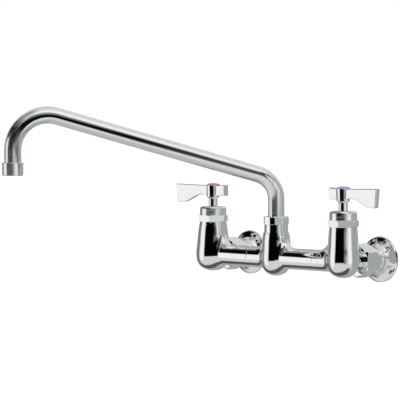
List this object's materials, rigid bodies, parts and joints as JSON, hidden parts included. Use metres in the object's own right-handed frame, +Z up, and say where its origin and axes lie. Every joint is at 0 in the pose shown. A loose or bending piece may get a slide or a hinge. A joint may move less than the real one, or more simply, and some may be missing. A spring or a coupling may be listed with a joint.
{
  "type": "wall-mounted kitchen mixing faucet",
  "caption": "Wall-mounted mixing faucet with lever handles on bottle-shaped valves, a long swinging tubular spout and dished wall flanges.",
  "frame": {"origin": "on the finished wall, half way between the two inlets", "axes": "+Z up, +Y into the wall, +X to the right seen from the front, from the hot inlet to the cold inlet"},
  "size_m": [0.3391, 0.3307, 0.2004],
  "materials": {
    "chrome": "polished",
    "brass": "machined",
    "steel": "satin",
    "rubber": "matte",
    "ceramic": "lapped",
    "nylon": "matte",
    "red_index": "gloss",
    "blue_index": "gloss"
  },
  "bodies": {
    "base": {"hot_valve_body": "chrome", "hot_union_tailpiece": "chrome", "hot_union_washer": "rubber", "hot_union_nut": "chrome", "hot_wall_flange": "chrome", "hot_cartridge_housing": "brass", "hot_cartridge_seal": "rubber", "hot_cartridge_o_ring": "rubber", "hot_fixed_disc": "ceramic", "hot_bonnet": "chrome", "cold_valve_body": "chrome", "cold_union_tailpiece": "chrome", "cold_union_washer": "rubber", "cold_union_nut": "chrome", "cold_wall_flange": "chrome", "cold_cartridge_housing": "brass", "cold_cartridge_seal": "rubber", "cold_cartridge_o_ring": "rubber", "cold_fixed_disc": "ceramic", "cold_bonnet": "chrome", "spout_body": "chrome", "spout_nut": "chrome", "spout_slip_washer": "nylon"},
    "spout": {"spout_tube": "chrome", "spout_ferrule": "brass", "spout_o_rings": "rubber", "aerator_housing": "chrome", "aerator_washer": "rubber", "aerator_insert": "nylon"},
    "hot_handle": {"hot_turning_disc": "ceramic", "hot_stem": "brass", "hot_stem_o_ring": "rubber", "hot_lever": "chrome", "hot_handle_screw": "steel", "hot_index_button": "red_index"},
    "cold_handle": {"cold_turning_disc": "ceramic", "cold_stem": "brass", "cold_stem_o_ring": "rubber", "cold_lever": "chrome", "cold_handle_screw": "steel", "cold_index_button": "blue_index"}
  },
  "joints": [
    {"name": "spout_swing", "type": "hinge", "parent": "base", "child": "spout", "pos_m": [0, -0.066, 0.03], "axis": [0, 0, 1], "range_deg": [-56, 124]},
    {"name": "hot_turn", "type": "hinge", "parent": "base", "child": "hot_handle", "pos_m": [-0.1016, -0.066, 0.06], "axis": [0, 0, 1], "range_deg": [0, 90]},
    {"name": "cold_turn", "type": "hinge", "parent": "base", "child": "cold_handle", "pos_m": [0.1016, -0.066, 0.06], "axis": [0, 0, 1], "range_deg": [-90, 0]}
  ]
}
